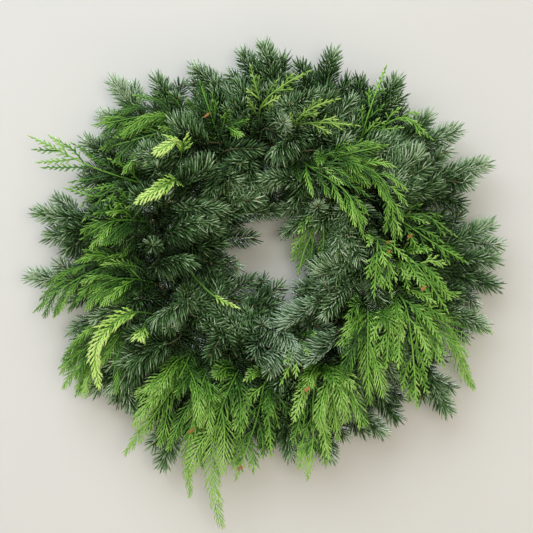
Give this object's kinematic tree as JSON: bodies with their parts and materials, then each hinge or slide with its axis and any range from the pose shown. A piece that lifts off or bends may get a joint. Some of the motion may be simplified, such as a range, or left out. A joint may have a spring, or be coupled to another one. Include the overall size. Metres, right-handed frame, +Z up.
{
  "type": "fresh evergreen wreath",
  "caption": "Round fresh wreath of fir branches and drooping flat cedar sprays bound round a crimped wire ring, with a small open centre; it hangs flat against a wall by the ring.",
  "frame": {"origin": "the hang point: the underside of the top of the wire ring, where a hook or nail carries the wreath", "axes": "+Z up along the wreath's height, +X to the right as seen from the front, +Y through the wreath from its front to its back; the front faces -Y"},
  "size_m": [0.6429, 0.1054, 0.6538],
  "materials": {
    "fir": "flat waxy needles, dark blue-green, on green and brown bark",
    "cedar": "satin scale leaves, mid green",
    "lime_cedar": "pale yellow-green undersides of cedar tips",
    "cone": "tiny dry orange-brown cones",
    "ring_wire": "dark green coated steel wire",
    "binding_wire": "thin green florist wire"
  },
  "bodies": {
    "root": {"ring_frame": "ring_wire", "binding_wire": "binding_wire", "cedar_upper_left": "cedar", "cedar_left_high": "cedar", "cedar_left_middle": "cedar", "cedar_left_low": "cedar", "cedar_left_olive": "cedar", "cedar_lower_left": "cedar", "cedar_bottom_left_outer": "cedar", "cedar_bottom_left": "cedar", "cedar_longest": "cedar", "cedar_bottom": "cedar", "cedar_bottom_drop": "cedar", "cedar_bottom_right": "cedar", "cedar_bottom_right_fall": "cedar", "cedar_lower_right_fall": "cedar", "cedar_lower_right": "cedar", "cedar_right_back": "cedar", "cedar_right": "cedar", "cedar_right_drop": "cedar", "cedar_right_high": "cedar", "cedar_upper_right_fall": "cedar", "cedar_upper_right": "cedar", "cedar_top_right_yellow": "cedar", "cedar_top_yellow": "cedar", "cedar_top_left": "cedar", "cedar_top_right": "cedar", "cedar_in_the_hole": "cedar", "lime_upper_left": "lime_cedar", "lime_lower_left": "lime_cedar", "fir_upper_left": "fir", "fir_left_high": "fir", "fir_left_middle": "fir", "fir_left_low": "fir", "fir_lower_left": "fir", "fir_bottom_left": "fir", "fir_bottom_middle_left": "fir", "fir_bottom_middle": "fir", "fir_bottom_middle_right": "fir", "fir_bottom_right": "fir", "fir_lower_right": "fir", "fir_right_low": "fir", "fir_right_middle": "fir", "fir_right_high": "fir", "fir_upper_right": "fir", "fir_top_right": "fir", "fir_top_middle_right": "fir", "fir_top_middle": "fir", "fir_top_left": "fir", "fir_inner_top_left": "fir", "fir_inner_top_right": "fir", "fir_inner_top": "fir", "fir_inner_left_high": "fir", "fir_inner_left": "fir", "fir_inner_right_high": "fir", "fir_inner_right": "fir", "fir_inner_lower_left": "fir", "fir_inner_bottom": "fir", "fir_inner_lower_right": "fir", "fir_front_bottom": "fir"}
  },
  "joints": []
}
